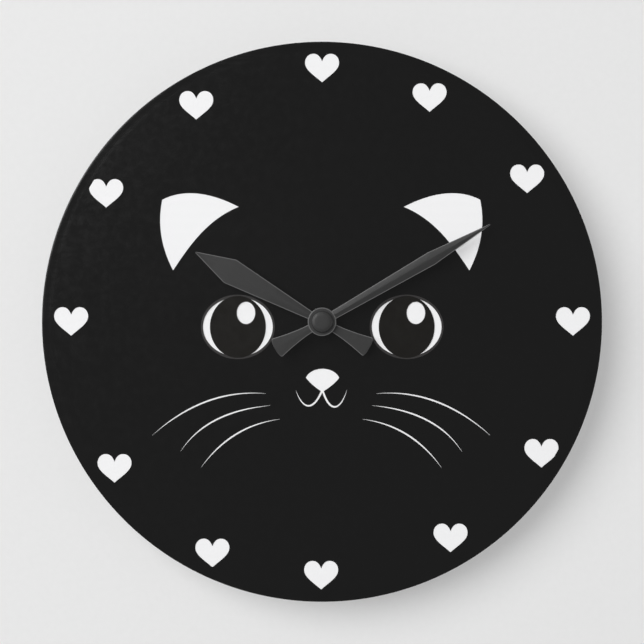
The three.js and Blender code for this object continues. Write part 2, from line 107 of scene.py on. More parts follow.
def polar(radius, degrees, at=(0.0, 0.0)):
    a = math.radians(degrees)
    return at[0] + radius * math.cos(a), at[1] + radius * math.sin(a)


def on_curve(hull, t):
    """The point at t, 0 to 1, of the Bezier curve with these control points."""
    while len(hull) > 1:
        hull = [tuple(p + (q - p) * t for p, q in zip(a, b)) for a, b in zip(hull, hull[1:])]
    return hull[0]


def trace(start, *segments, steps=20):
    """An outline from start: each segment lists its control points and its end."""
    points = [start]
    for segment in segments:
        hull = [points[-1], *segment]
        points += [on_curve(hull, i / steps) for i in range(1, steps + 1)]
    if math.dist(points[0], points[-1]) < 1e-6:
        points.pop()
    return points


def ellipse(x, z, a, b, steps=120):
    turn = [2 * math.pi * i / steps for i in range(steps)]
    return [(x + a * math.cos(t), z + b * math.sin(t)) for t in turn]


def rounded_box(x0, x1, z0, z1, r, steps=8):
    corners = [(x1 - r, z1 - r, 0), (x0 + r, z1 - r, 90), (x0 + r, z0 + r, 180), (x1 - r, z0 + r, 270)]
    points = []
    for x, z, start in corners:
        points += [polar(r, start + 90 * i / steps, (x, z)) for i in range(steps + 1)]
    return points


def finish_mesh(mesh, sharp=32.0):
    """Welds the mesh, points its faces outwards, and smooths all but its sharp edges."""
    b = bmesh.new()
    b.from_mesh(mesh)
    bmesh.ops.remove_doubles(b, verts=b.verts, dist=2e-7)
    bmesh.ops.recalc_face_normals(b, faces=b.faces)
    b.to_mesh(mesh)
    b.free()
    mesh.polygons.foreach_set("use_smooth", [True] * len(mesh.polygons))
    mesh.set_sharp_from_angle(angle=math.radians(sharp))


def built(name, points, faces, material, sharp=32.0):
    """A mesh object from points in millimetres."""
    mesh = bpy.data.meshes.new(name)
    mesh.from_pydata([tuple(c * MM for c in p) for p in points], [], faces)
    mesh.materials.append(material)
    finish_mesh(mesh, sharp)
    return link(name, mesh)


def settled(obj):
    """Applies obj's modifiers to its mesh."""
    graph = bpy.context.evaluated_depsgraph_get()
    mesh = bpy.data.meshes.new_from_object(obj.evaluated_get(graph))
    obj.modifiers.clear()
    obj.data = mesh
    return obj


def cut_sheet(name, outlines, y0, y1, material, bevel=0.0):
    """A flat sheet between y0 and y1, its outlines drawn in x and z; the inner ones are holes."""
    curve = bpy.data.curves.new(name, "CURVE")
    curve.dimensions = "2D"
    curve.fill_mode = "BOTH"
    curve.extrude = (y1 - y0) / 2 * MM - bevel * MM
    curve.bevel_depth = bevel * MM
    curve.bevel_resolution = 2
    curve.offset = -bevel * MM
    for outline in outlines:
        spline = curve.splines.new("POLY")
        spline.points.add(len(outline) - 1)
        flat = [c for x, z in outline for c in (x * MM, z * MM, 0.0, 1.0)]
        spline.points.foreach_set("co", flat)
        spline.use_cyclic_u = True
    holder = link(name + "_curve", curve)
    bpy.context.view_layer.update()
    graph = bpy.context.evaluated_depsgraph_get()
    mesh = bpy.data.meshes.new_from_object(holder.evaluated_get(graph))
    bpy.data.objects.remove(holder)
    bpy.data.curves.remove(curve)
    mesh.transform(Matrix.Rotation(math.pi / 2, 4, "X"))
    mesh.transform(Matrix.Translation((0, (y0 + y1) / 2 * MM, 0)))
    mesh.materials.clear()
    mesh.materials.append(material)
    finish_mesh(mesh)
    return link(name, mesh)


def turned(name, profile, material, at=(0.0, 0.0), steps=192, axis="Y", sharp=32.0):
    """A closed profile of (radius, distance along the axis) turned about Y, or about X."""
    points, faces = [], []
    n = len(profile)
    for i in range(steps):
        a = 2 * math.pi * i / steps
        for r, d in profile:
            u, v = r * math.cos(a), r * math.sin(a)
            points.append((at[0] + u, d, at[1] + v) if axis == "Y" else (d, at[0] + u, at[1] + v))
    for i in range(steps):
        for k in range(n):
            j, m = (i + 1) % steps, (k + 1) % n
            faces.append((i * n + k, i * n + m, j * n + m, j * n + k))
    obj = built(name, points, faces, material, sharp)
    b = bmesh.new()
    b.from_mesh(obj.data)
    bmesh.ops.dissolve_degenerate(b, edges=b.edges, dist=2e-7)
    b.to_mesh(obj.data)
    b.free()
    return obj


def rounded(corners, r=0.25, steps=4):
    """A closed profile with each of its corners rounded off by about r."""
    points = []
    n = len(corners)
    for i, corner in enumerate(corners):
        here = Vector(corner)
        before, after = Vector(corners[i - 1]) - here, Vector(corners[(i + 1) % n]) - here
        if corner[0] == 0:
            points.append(corner)
            continue
        reach = min(r, before.length * 0.45, after.length * 0.45)
        a, b = here + before.normalized() * reach, here + after.normalized() * reach
        points += [on_curve([tuple(a), corner, tuple(b)], k / steps) for k in range(steps + 1)]
    return points


def boolean(obj, tool, operation):
    """Joins tool to obj, or cuts it away, and removes the tool."""
    modifier = obj.modifiers.new(operation, "BOOLEAN")
    modifier.operation = operation
    modifier.object = tool
    modifier.solver = "EXACT"
    settled(obj)
    bpy.data.objects.remove(tool)
    finish_mesh(obj.data)
    return obj


def swept(name, path, radius, material, sides=10):
    """A round wire along a path of points, capped at both ends."""
    points, faces = [], []
    up = Vector((0.0, 0.0, 1.0))
    for i, p in enumerate(path):
        ahead = Vector(path[min(i + 1, len(path) - 1)]) - Vector(path[max(i - 1, 0)])
        ahead.normalize()
        side = ahead.cross(up)
        if side.length < 1e-3:
            side = ahead.cross(Vector((1.0, 0.0, 0.0)))
        side.normalize()
        up = side.cross(ahead).normalized()
        for k in range(sides):
            a = 2 * math.pi * k / sides
            points.append(tuple(Vector(p) + (side * math.cos(a) + up * math.sin(a)) * radius))
    for i in range(len(path) - 1):
        for k in range(sides):
            m = (k + 1) % sides
            faces.append((i * sides + k, i * sides + m, (i + 1) * sides + m, (i + 1) * sides + k))
    faces.append(tuple(range(sides))[::-1])
    faces.append(tuple((len(path) - 1) * sides + k for k in range(sides)))
    return built(name, points, faces, material)


def eased(node, width, material, name=None, sharp=32.0):
    """A copy of a CAD node's shape with its edges eased by a small rounded bevel."""
    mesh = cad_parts[node].data.copy()
    b = bmesh.new()
    b.from_mesh(mesh)
    bmesh.ops.remove_doubles(b, verts=b.verts, dist=1e-6)
    bmesh.ops.dissolve_limit(
        b, angle_limit=math.radians(0.4), verts=b.verts, edges=b.edges, use_dissolve_boundaries=False
    )
    b.to_mesh(mesh)
    b.free()
    mesh.materials.clear()
    mesh.materials.append(material)
    obj = link(name or node + "_fine", mesh)
    modifier = obj.modifiers.new("edges", "BEVEL")
    modifier.width = width * MM
    modifier.segments = 2
    modifier.limit_method = "ANGLE"
    modifier.angle_limit = math.radians(40)
    modifier.use_clamp_overlap = True
    settled(obj)
    finish_mesh(obj.data, sharp)
    return obj


def place(obj, body, slot, *nodes, flat=False):
    """Puts a finished piece on its body, for the CAD nodes that it stands for."""
    if flat:  # large faces stay flat beside their eased edges
        modifier = obj.modifiers.new("flat_faces", "WEIGHTED_NORMAL")
        modifier.keep_sharp = True
        modifier.weight = 100
        settled(obj)
    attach(obj, body)
    if nodes:
        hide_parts(*nodes)
    return obj


# ---- Materials -----------------------------------------------------------------------------


class Look:
    """A material's node tree, measured in millimetres on the object."""

    def __init__(self, name, stretch=(1, 1, 1), **sockets):
        self.material = bpy.data.materials.new(name)
        self.material.use_nodes = True
        self.tree = self.material.node_tree
        self.shader = self.tree.nodes["Principled BSDF"]
        for socket, value in sockets.items():
            self.shader.inputs[socket.replace("_", " ")].default_value = value
        place_on = self.add("ShaderNodeTexCoord").outputs["Object"]
        scale = tuple(s / MM for s in stretch)
        self.mm = self.add("ShaderNodeMapping", Vector=place_on, Scale=scale).outputs["Vector"]

    def add(self, kind, settings=None, **inputs):
        n = self.tree.nodes.new(kind)
        for key, value in (settings or {}).items():
            setattr(n, key, value)
        for key, value in inputs.items():
            socket = n.inputs[key.replace("_", " ")]
            if isinstance(value, bpy.types.NodeSocket):
                self.tree.links.new(value, socket)
            else:
                socket.default_value = value
        return n

    def noise(self, size, detail=3.0, roughness=0.55, distortion=0.0, at=None):
        """Cloudy variation, 0 to 1, with lumps of about this size in millimetres."""
        return self.add(
            "ShaderNodeTexNoise", Vector=at or self.mm, Scale=1 / size, Detail=detail,
            Roughness=roughness, Distortion=distortion,
        ).outputs["Fac"]

    def spots(self, size):
        return self.add("ShaderNodeTexVoronoi", Vector=self.mm, Scale=1 / size).outputs["Distance"]

    def waves(self, size, kind="BANDS", direction="X", distortion=0.0):
        along = "bands_direction" if kind == "BANDS" else "rings_direction"
        settings = {"wave_type": kind, along: direction}
        return self.add(
            "ShaderNodeTexWave", settings, Vector=self.mm, Scale=0.314 / size, Distortion=distortion,
        ).outputs["Fac"]

    def remap(self, value, low, high, start=0.3, end=0.7):
        n = self.add("ShaderNodeMapRange", Value=value)
        for key, v in (("From Min", start), ("From Max", end), ("To Min", low), ("To Max", high)):
            n.inputs[key].default_value = v
        return n.outputs["Result"]

    def mixed(self, a, b, operation="ADD"):
        n = self.tree.nodes.new("ShaderNodeMath")
        n.operation = operation
        for socket, value in zip(n.inputs, (a, b)):
            if isinstance(value, bpy.types.NodeSocket):
                self.tree.links.new(value, socket)
            else:
                socket.default_value = value
        return n.outputs["Value"]

    def tones(self, value, *colours, start=0.3, end=0.7):
        ramp = self.add("ShaderNodeValToRGB", Fac=value)
        stops = ramp.color_ramp.elements
        while len(stops) < len(colours):
            stops.new(0.5)
        for i, (stop, colour) in enumerate(zip(stops, colours)):
            stop.position = start + (end - start) * i / (len(colours) - 1)
            stop.color = (*colour, 1.0)
        return ramp.outputs["Color"]

    def colour(self, socket):
        self.tree.links.new(socket, self.shader.inputs["Base Color"])
        return self

    def rough(self, socket):
        self.tree.links.new(socket, self.shader.inputs["Roughness"])
        return self

    def relief(self, height, depth):
        """Surface relief from a height of 0 to 1, depth in millimetres."""
        bump = self.add("ShaderNodeBump", Height=height, Strength=1.0, Distance=depth * MM)
        self.tree.links.new(bump.outputs["Normal"], self.shader.inputs["Normal"])
        return self


def shade(colour, factor):
    return tuple(c * factor for c in colour)


def moulded(name, colour, rough, size, depth, spread=0.12, **sockets):
    """Moulded plastic: a fine all-over grain, slow changes of tone, and a few duller patches."""
    look = Look(name, **sockets)
    look.colour(look.tones(look.noise(9, 4), shade(colour, 1 - spread), shade(colour, 1 + spread)))
    patches = look.mixed(look.noise(14, 2), look.noise(1.1, 3), "MULTIPLY")
    look.rough(look.remap(patches, rough - 0.06, rough + 0.08, 0.12, 0.42))
    look.relief(look.mixed(look.noise(size, 4), look.mixed(look.noise(size * 6, 2), 0.6, "MULTIPLY")), depth)
    return look.material


def acrylic(name, colour):
    """Polished black sheet: faint waves, fine hairlines and a breath of dust."""
    look = Look(name, IOR=1.49)
    look.colour(look.tones(look.noise(40, 3), shade(colour, 0.94), shade(colour, 1.06)))
    drawn_out = look.add("ShaderNodeMapping", Vector=look.mm, Scale=(0.04, 1, 1.3)).outputs["Vector"]
    hairlines = look.noise(0.6, 2, at=drawn_out)
    worn = look.mixed(look.noise(22, 3), hairlines, "MULTIPLY")
    look.rough(look.remap(worn, 0.1, 0.2, 0.15, 0.4))
    look.relief(look.noise(26, 2), 0.006)
    return look.material


def ink(name, colour, rough, dots=0.16, spread=0.02, depth=0.0035, **sockets):
    """A cured print: tiny drops of ink, faint passes of the print head, a satin surface."""
    look = Look(name, **sockets)
    passes = look.waves(5.2, direction="Z", distortion=0.6)
    speckle = look.mixed(
        look.mixed(look.noise(dots, 2), 0.94, "MULTIPLY"), look.mixed(passes, 0.06, "MULTIPLY")
    )
    look.colour(look.tones(speckle, shade(colour, 1 - spread), shade(colour, 1 + spread)))
    look.rough(look.remap(look.noise(3.5, 4), rough - 0.03, rough + 0.05))
    look.relief(look.noise(dots, 3), depth)
    return look.material


def lacquer(name, colour, rough, **sockets):
    """Sprayed satin lacquer with fine metal flake and a slight orange peel."""
    look = Look(name, **sockets)
    flake = look.mixed(look.spots(0.14), look.noise(2.4, 3))
    look.colour(look.tones(flake, shade(colour, 0.9), shade(colour, 1.1), start=0.5, end=1.2))
    look.rough(look.remap(look.noise(1.6, 4), rough - 0.04, rough + 0.05))
    look.relief(look.noise(0.5, 3), 0.004)
    return look.material


def metal(name, colour, rough, grain, stretch=(1, 1, 1), depth=0.004, spread=0.08, rings=None, **sockets):
    """Bright metal with drawn or turned tool marks, and slightly tarnished patches."""
    look = Look(name, stretch=stretch, Metallic=1.0, **sockets)
    marks = look.noise(grain, 3)
    if rings:
        marks = look.mixed(look.mixed(look.waves(grain, "RINGS", rings, 0.4), 0.5, "MULTIPLY"),
                           look.mixed(marks, 0.5, "MULTIPLY"))
    look.colour(look.tones(look.noise(grain * 14, 4), shade(colour, 1 - spread), shade(colour, 1 + spread)))
    look.rough(look.remap(marks, rough - 0.05, rough + 0.1))
    look.relief(marks, depth)
    return look.material


def wound_wire(name, colour):
    """Enamelled wire laid side by side round the coil."""
    look = Look(name, Metallic=1.0, Coat_Weight=0.4, Coat_Roughness=0.15)
    turns = look.waves(0.22, direction="X", distortion=0.15)
    # The colour drops to about a third in the troughs between the turns: painted shade between the wires,
    # beside the relief.
    look.colour(look.tones(turns, shade(colour, 0.35), colour, start=0.05, end=0.8))
    look.rough(look.remap(look.noise(1.2), 0.24, 0.36))
    look.relief(turns, 0.06)
    return look.material


def laminate(name, colour):
    """Circuit board: solder resist over the weave of the glass cloth."""
    look = Look(name, Coat_Weight=0.3, Coat_Roughness=0.2)
    weave = look.mixed(look.waves(0.5, direction="X"), look.waves(0.5, direction="Z"), "MULTIPLY")
    cloth = look.mixed(weave, look.noise(6))
    look.colour(look.tones(cloth, shade(colour, 0.8), shade(colour, 1.2), start=0.4, end=1.3))
    look.rough(look.remap(look.noise(2), 0.35, 0.5))
    look.relief(weave, 0.02)
    return look.material


BLACK = (0.0074, 0.0074, 0.0074)
WHITE = (0.932, 0.932, 0.940)

LOOKS = {
    "dial_acrylic": acrylic("dial_acrylic", BLACK),
    "print_white": ink("print_white", WHITE, 0.5, Specular_IOR_Level=0.3),
    "print_black": ink("print_black", BLACK, 0.13, spread=0.05, depth=0.0006),
    "print_grey": ink("print_grey", (0.0098, 0.009, 0.0078), 0.22, spread=0.05, depth=0.0012),
    "hand_metal": lacquer("hand_metal", (0.047, 0.047, 0.047), 0.42, Metallic=0.35),
    "case_plastic": moulded("case_plastic", (0.014, 0.014, 0.015), 0.46, 0.22, 0.025),
    "gear_plastic": moulded(
        "gear_plastic", (0.80, 0.78, 0.71), 0.42, 0.35, 0.008, spread=0.04, Subsurface_Weight=0.12
    ),
    "knob_plastic": moulded(
        "knob_plastic", (0.70, 0.68, 0.63), 0.4, 0.3, 0.01, spread=0.05, Subsurface_Weight=0.08
    ),
    "brass": metal("brass", (0.78, 0.56, 0.22), 0.24, 0.16, rings="Y"),
    "rubber": moulded("rubber", (0.018, 0.018, 0.018), 0.8, 0.12, 0.02),
    "magnet": metal("magnet", (0.20, 0.20, 0.21), 0.5, 0.12, depth=0.01, spread=0.25),
    "sheet_steel": metal("sheet_steel", (0.62, 0.63, 0.64), 0.26, 0.3, stretch=(1, 1, 0.12)),
    "copper_wire": wound_wire("copper_wire", (0.75, 0.28, 0.10)),
    "board": laminate("board", (0.03, 0.16, 0.06)),
    "chip_resin": moulded("chip_resin", (0.010, 0.010, 0.010), 0.22, 1.4, 0.03),
    "cell_metal": metal("cell_metal", (0.68, 0.69, 0.70), 0.22, 0.25, rings="X"),
    "cell_label": ink(
        "cell_label", (0.028, 0.034, 0.046), 0.3, spread=0.08, Coat_Weight=0.5, Coat_Roughness=0.12
    ),
}
EYE_LINE = ink("eye_line", (0.036, 0.034, 0.034), 0.3, spread=0.05)
# A lighter grey lacquer for the hands' bevels and the hub's rim: a painted highlight, so their edges read
# bright on every side.
PAINTED_EDGE_HIGHLIGHT = lacquer("hand_edge_painted_highlight", (0.135, 0.135, 0.135), 0.5)
MARK_PAINT = ink("mark_paint", (0.62, 0.62, 0.60), 0.5)
CELL_STRIPE = metal(
    "cell_stripe", (0.62, 0.46, 0.20), 0.3, 0.2, rings="X", Coat_Weight=0.5, Coat_Roughness=0.1
)

SLOT_NODES = {
    "dial_acrylic": ["dial_disc"],
    "print_white": ["print_white"],
    "print_black": ["print_black"],
    "print_grey": ["eye_print_left", "eye_print_right"],
    "hand_metal": ["hour_hand", "minute_hand", "hand_cap"],
    "case_plastic": ["case_front", "rear_cover"],
    "gear_plastic": [
        "train_plate", "coil_bobbin", "rotor_pinion", "fifth_wheel", "second_wheel", "third_wheel",
        "centre_wheel", "minute_arbor", "motion_wheel", "hour_wheel",
    ],
    "knob_plastic": ["setting_knob"],
    "brass": ["bushing", "nut_washer", "hex_nut", "clutch_spring"],
    "rubber": ["dial_washer"],
    "magnet": ["rotor_magnet"],
    "sheet_steel": ["stator", "crystal_can", "positive_contact", "negative_contact"],
    "copper_wire": ["coil_winding"],
    "board": ["circuit_board"],
    "chip_resin": ["chip_blob"],
    "cell_metal": ["cell_can"],
    "cell_label": ["cell_label"],
}


def dress_cad_nodes():
    for slot, nodes in SLOT_NODES.items():
        for node in nodes:
            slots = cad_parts[node].material_slots
            for entry in slots:
                entry.material = LOOKS[slot]


# ---- The dial and its print ----------------------------------------------------------------


def dial_disc():
    """The face under the print, a faint hollow round it, a slim lip and a plain back."""
    front = BLACK_Y[0]
    hollow = [
        (r, front + RIM_HOLLOW * math.sin(math.pi * (r - PRINT_R) / (LIP_R - PRINT_R)) ** 2)
        for r in (PRINT_R + (LIP_R - PRINT_R) * i / 12 for i in range(13))
    ]
    edge = rounded([(LIP_R, front), (DIAL_R, front), (DIAL_R, DIAL_BACK), (4.3, DIAL_BACK)], 0.12)[5:-5]
    profile = [(4.3, DIAL_FACE), (PRINT_R - 0.02, DIAL_FACE), *hollow, *edge, (4.3, DIAL_BACK)]
    return turned("dial_disc_fine", profile, LOOKS["dial_acrylic"], steps=360, sharp=40)


def heart(x, z):
    top = z + HEART_TOP
    w = HEART_W
    return trace(
        (x, top - 3.7),
        [(x + 0.9, top - 1.2), (x + 2.3, top), (x + 4.15, top)],
        [(x + 6.6, top), (x + w, top - 1.9), (x + w, top - 4.4)],
        [(x + w, top - 8), (x + 4, top - 10.4), (x, z + HEART_TIP)],
        [(x - 4, top - 10.4), (x - w, top - 8), (x - w, top - 4.4)],
        [(x - w, top - 1.9), (x - 6.6, top), (x - 4.15, top)],
        [(x - 2.3, top), (x - 0.9, top - 1.2), (x, top - 3.7)],
    )


def mirrored(points, side):
    return [(FACE_AXIS - side * x, z) for x, z in points]


def ear(side):
    outline = trace(
        (-77.5, 59.5),
        [(-65.4, 65.8), (-51.3, 61.8), (-40.2, 56)],
        [(-55.1, 50), (-63.8, 37.8), (-72.2, 25)],
        [(-77.9, 35.9), (-80, 47.4), (-77.5, 59.5)],
    )
    return mirrored(outline, side)


def nose():
    return trace(
        (-7.9, -27.2),
        [(-5.1, -21.5), (5.6, -21.4), (8.4, -27.3)],
        [(6.6, -29.7), (3.6, -32.2), (0.15, -34.2)],
        [(-3, -32.3), (-6, -29.8), (-7.9, -27.2)],
    )


def pen_stroke(hull, half_width, steps=36):
    """The outline of a stroke along a Bezier curve, its half width a function of 0 to 1."""
    left, right = [], []
    for i in range(steps + 1):
        t = i / steps
        x, z = on_curve(hull, t)
        ahead = Vector(on_curve(hull, min(t + 0.01, 1))) - Vector(on_curve(hull, max(t - 0.01, 0)))
        ahead.normalize()
        w = half_width(t)
        left.append((x - ahead.y * w, z + ahead.x * w))
        right.append((x + ahead.y * w, z - ahead.x * w))
    return left + right[::-1]


def mouth_strokes():
    curves = [
        [(0, -33.5), (-3.7, -42.5), (-8.8, -44.3), (-12.7, -33.6)],
        [(0.3, -33.5), (3.8, -44.8), (9, -43.5), (12.1, -33.3)],
    ]
    return [pen_stroke(hull, lambda t: 0.05 + 0.42 * (1 - t ** 2.2) ** 0.8) for hull in curves]


def whiskers(side):
    curves = [
        [(-26.9, -35), (-48.4, -33.1), (-66.7, -41.3), (-82.4, -55.4)],
        [(-24.8, -40.8), (-41.8, -42.4), (-58.7, -47.9), (-68.6, -63.3)],
        [(-20.1, -47.5), (-36.5, -49.5), (-49.2, -57.9), (-58.7, -71.2)],
    ]
    spindle = lambda t: 0.04 + 0.34 * math.sin(math.pi * t) ** 0.9
    return [pen_stroke(mirrored(hull, side), spindle) for hull in curves]


def nose_and_mouth():
    """The nose, with the two strokes of the mouth growing from its tip, as one outline each."""
    shape = cut_sheet("nose_tool", [nose()], BLACK_Y[0] - 1, BLACK_Y[1] + 1, LOOKS["print_black"])
    for stroke in mouth_strokes():
        tool = cut_sheet("mouth_tool", [stroke], BLACK_Y[0] - 1, BLACK_Y[1] + 1, LOOKS["print_black"])
        boolean(shape, tool, "UNION")
    return shape


def white_print():
    outlines = [ellipse(0, 0, PRINT_R - 0.4, PRINT_R - 0.4, 240), ellipse(0, 0, PRINT_BORE, PRINT_BORE, 64)]
    return cut_sheet("print_white_fine", outlines, *WHITE_Y, LOOKS["print_white"])


def black_print():
    """The black covers the white but for the picture, which is left open."""
    picture = [heart(*polar(radius, 90 - degrees)) for degrees, radius in HOUR_HEARTS]
    picture += [ear(side) for side in (-1, 1)]
    picture += [ellipse(x, EYE_Z, *EYE_WHITE) for x in EYES.values()]
    picture += [stroke for side in (-1, 1) for stroke in whiskers(side)]
    outlines = [ellipse(0, 0, PRINT_R, PRINT_R, 360), ellipse(0, 0, PRINT_BORE, PRINT_BORE, 64), *picture]
    sheet = cut_sheet("print_black_fine", outlines, *BLACK_Y, LOOKS["print_black"])
    return boolean(sheet, nose_and_mouth(), "DIFFERENCE")


def eye_print(side, x):
    """The iris with its glint left open, inside a fine grey line that thickens below."""
    y0, y1 = EYE_Y
    gx, gz = x + GLINT[side], EYE_Z + GLINT["z"]
    glint = ellipse(gx, gz, GLINT["a"], GLINT["b"])
    iris = cut_sheet(f"eye_iris_{side}", [ellipse(x, EYE_Z, *EYE_IRIS), glint], y0, y1, LOOKS["print_grey"])
    ring = [ellipse(x, EYE_Z, *EYE_RIM), ellipse(x, EYE_Z, *EYE_WHITE)]
    line = cut_sheet(f"eye_line_{side}", ring, y0 + 0.06, y1 + 0.03, EYE_LINE)
    halo_outer = ellipse(gx, gz, GLINT["a"] + 0.3, GLINT["b"] + 0.3)
    halo = cut_sheet(f"eye_halo_{side}", [halo_outer, glint], y0 - 0.02, y0 + 0.02, EYE_LINE)
    place(iris, "frame", "print_grey", f"eye_print_{side}")
    place(line, "frame", "print_grey", f"eye_print_{side}")
    place(halo, "frame", "print_grey", f"eye_print_{side}")


# ---- The hands -----------------------------------------------------------------------------


def hand_sections(hand):
    """(distance along the hand, half width) from the end of the tail to the tip."""
    tail = trace(
        (-HAND_TAIL, 0.0),
        [(-HAND_TAIL, 1.5), (-26.2, 3.0), (-25.7, 4.1)],
        [(-25.4, 5.0), (-24.5, 4.92)],
        steps=10,
    )
    sections = [(s, max(w, 0.02)) for s, w in tail]
    for i in range(1, 19):
        s = 24.5 - 17.5 * i / 18
        sections.append((-s, HAND_ROOT + 2.8 * ((s - 7) / 17.6) ** 1.5))
    half, shoulder, tip = hand["half"], hand["shoulder"], hand["tip"]
    sections += [(-3.5, HAND_ROOT), (0.0, HAND_ROOT), (3.5, HAND_ROOT), (7.0, HAND_ROOT)]
    for i in range(1, 21):
        t = 0.98 * i / 20
        sections.append((7 + (shoulder - 7) * t, HAND_ROOT + (half - HAND_ROOT) * t))
    shoulder_end = shoulder + 1.4
    sections += [(shoulder, half), (shoulder + 0.5, half)]
    sections += [(shoulder + 1, half * 0.985), (shoulder_end, half * 0.96)]
    for i in range(1, 15):
        t = i / 14
        sections.append((shoulder_end + (tip - shoulder_end) * t, half * 0.96 * (1 - t) + 0.3 * t))
    sections.append((tip + 0.15, 0.12))
    return sections


def hand_blade(name, hand):
    """A pressed blade: two slopes up to a soft ridge, and a narrow bevel all round with a painted highlight.
    """
    back = hand["y"]
    across = []
    for s, w in hand_sections(hand):
        bevel = min(0.34, w * 0.45)
        rise = min(1.0, w / 1.6) * (1.0 if s > 0 else TAIL_RIDGE)
        edge = back - 0.24
        ridge = edge - (HAND_THICKNESS - 0.24) * rise
        soft = 0.12 * (w - bevel)
        low = ridge + (edge - ridge) * 0.14
        across.append((s, [
            (-w, back), (-w, back - 0.12), (-(w - bevel), edge), (-soft, low),
            (0, ridge + (low - ridge) * 0.4),
            (soft, low), (w - bevel, edge), (w, back - 0.12), (w, back),
        ]))
    a = math.radians(hand["angle"])
    points, faces, bright = [], [], set()
    n = len(across[0][1])
    for s, section in across:
        for u, y in section:
            points.append((u * math.cos(a) + s * math.sin(a), y, -u * math.sin(a) + s * math.cos(a)))
    for i in range(len(across) - 1):
        for k in range(n):
            m = (k + 1) % n
            # the bevel faces get the lighter lacquer: a painted edge highlight
            if k in (0, 1, 6, 7):
                bright.add(len(faces))
            faces.append((i * n + k, i * n + m, (i + 1) * n + m, (i + 1) * n + k))
    faces.append(tuple(range(n))[::-1])
    faces.append(tuple((len(across) - 1) * n + k for k in range(n)))
    mesh = bpy.data.meshes.new(name)
    mesh.from_pydata([tuple(c * MM for c in p) for p in points], [], faces)
    mesh.materials.append(LOOKS["hand_metal"])
    mesh.materials.append(PAINTED_EDGE_HIGHLIGHT)
    for i in bright:
        mesh.polygons[i].material_index = 1
    finish_mesh(mesh, 14)
    return link(name, mesh)


def hand_piece(name, hand, bore):
    blade = hand_blade(name, hand)
    back = hand["y"]
    front = back - HAND_THICKNESS - 0.05
    profile = [(bore, back), (bore, front), (HUB_R - 0.42, front), (HUB_R, front + 0.22), (HUB_R, back)]
    hub = turned("hub_tool", profile, LOOKS["hand_metal"], steps=120)
    # the hub's outer rim gets the lighter lacquer too: a painted edge highlight
    hub.data.materials.append(PAINTED_EDGE_HIGHLIGHT)
    for p in hub.data.polygons:
        r = math.hypot(p.center.x, p.center.z) / MM
        if r > HUB_R - 0.4:
            p.material_index = 1
    wide = bore + 0.3
    hole = [(0, back + 1), (0, front - 1), (wide, front - 1), (wide, back + 1)]
    boolean(blade, turned("bore_tool", hole, LOOKS["hand_metal"], steps=64), "DIFFERENCE")
    boolean(blade, hub, "UNION")
    finish_mesh(blade.data, 14)
    return blade


def hand_cap():
    """A low domed nut with a fine turned groove near its edge."""
    profile = [
        (0, -32.3), (2.0, -32.29), (3.2, -32.26), (4.0, -32.2), (4.25, -32.1), (4.4, -31.98),
        (4.52, -32.0), (4.8, -31.9), (5.05, -31.6), (CAP_R - 0.04, -31.2), (CAP_R, -30.8),
        (CAP_R, -29.9), (CAP_R - 0.1, -29.75),
        (1.95, -29.75), (1.95, -31.3), (0, -31.3),
    ]
    return turned("hand_cap_fine", profile, LOOKS["hand_metal"], steps=128, sharp=50)


# ---- The back of the movement --------------------------------------------------------------


def block(name, x0, x1, y0, y1, z0, z1, edge, material):
    """A rectangular piece with eased edges."""
    corners = [(x, y, z) for x in (x0, x1) for y in (y0, y1) for z in (z0, z1)]
    faces = [(0, 1, 3, 2), (4, 6, 7, 5), (0, 4, 5, 1), (2, 3, 7, 6), (0, 2, 6, 4), (1, 5, 7, 3)]
    obj = built(name, corners, faces, material)
    modifier = obj.modifiers.new("edges", "BEVEL")
    modifier.width = edge * MM
    modifier.segments = 3
    modifier.limit_method = "ANGLE"
    settled(obj)
    finish_mesh(obj.data)
    return obj


def knob():
    """The hand-setting knob: a fine knurl, a raised grip bar, and its shaft and pinion in the case."""
    plastic = LOOKS["knob_plastic"]
    x, z = KNOB_AT
    outline = []
    for i in range(KNOB_RIBS):
        for share, r in ((0.0, 5.68), (0.22, 5.97), (0.5, 6.0), (0.72, 5.97)):
            outline.append(polar(r, 360 * (i + share) / KNOB_RIBS, KNOB_AT))
    disc = cut_sheet("setting_knob_fine", [outline], -2.9, -1.2, plastic, bevel=0.12)
    dish = [(0, -0.5), (4.6, -0.5), (4.6, -1.2), (4.2, -1.5), (0, -1.5)]
    boolean(disc, turned("dish_tool", dish, plastic, KNOB_AT, 96), "DIFFERENCE")
    bar = rounded_box(x - 4.75, x + 4.75, z - 0.8, z + 0.8, 0.75)
    boolean(disc, cut_sheet("grip_tool", [bar], -1.9, -0.3, plastic, bevel=0.2), "UNION")
    shaft = eased("setting_knob", 0.04, plastic, "shaft_tool")
    inside = block("inside_tool", x - 9, x + 9, -16, -2.85, z - 9, z + 9, 0.01, plastic)
    boolean(shaft, inside, "INTERSECT")
    boolean(disc, shaft, "UNION")
    finish_mesh(disc.data, 30)
    return disc


def plus_outline(x, z, a, h):
    corners = [
        (-h, -a), (h, -a), (h, -h), (a, -h), (a, h), (h, h), (h, a), (-h, a), (-h, h), (-a, h), (-a, -h),
        (-h, -h),
    ]
    return [(x + u, z + v) for u, v in corners]


def bar_outline(x, z, arm, half):
    return [(x - arm, z - half), (x + arm, z - half), (x + arm, z + half), (x - arm, z + half)]


def turning_arrow(start, end):
    """A curved arrow beside the knob's well."""
    r0, r1 = ARROW_R
    steps = 24
    outer = [polar(r1, start + (end - start) * i / steps, KNOB_AT) for i in range(steps + 1)]
    inner = [polar(r0, end + (start - end) * i / steps, KNOB_AT) for i in range(steps + 1)]
    ahead = end + math.copysign(11, end - start)
    head = [
        polar(r1 + ARROW_BARB, end, KNOB_AT),
        polar((r0 + r1) / 2, ahead, KNOB_AT),
        polar(r0 - ARROW_BARB, end, KNOB_AT),
    ]
    return outer + head + inner


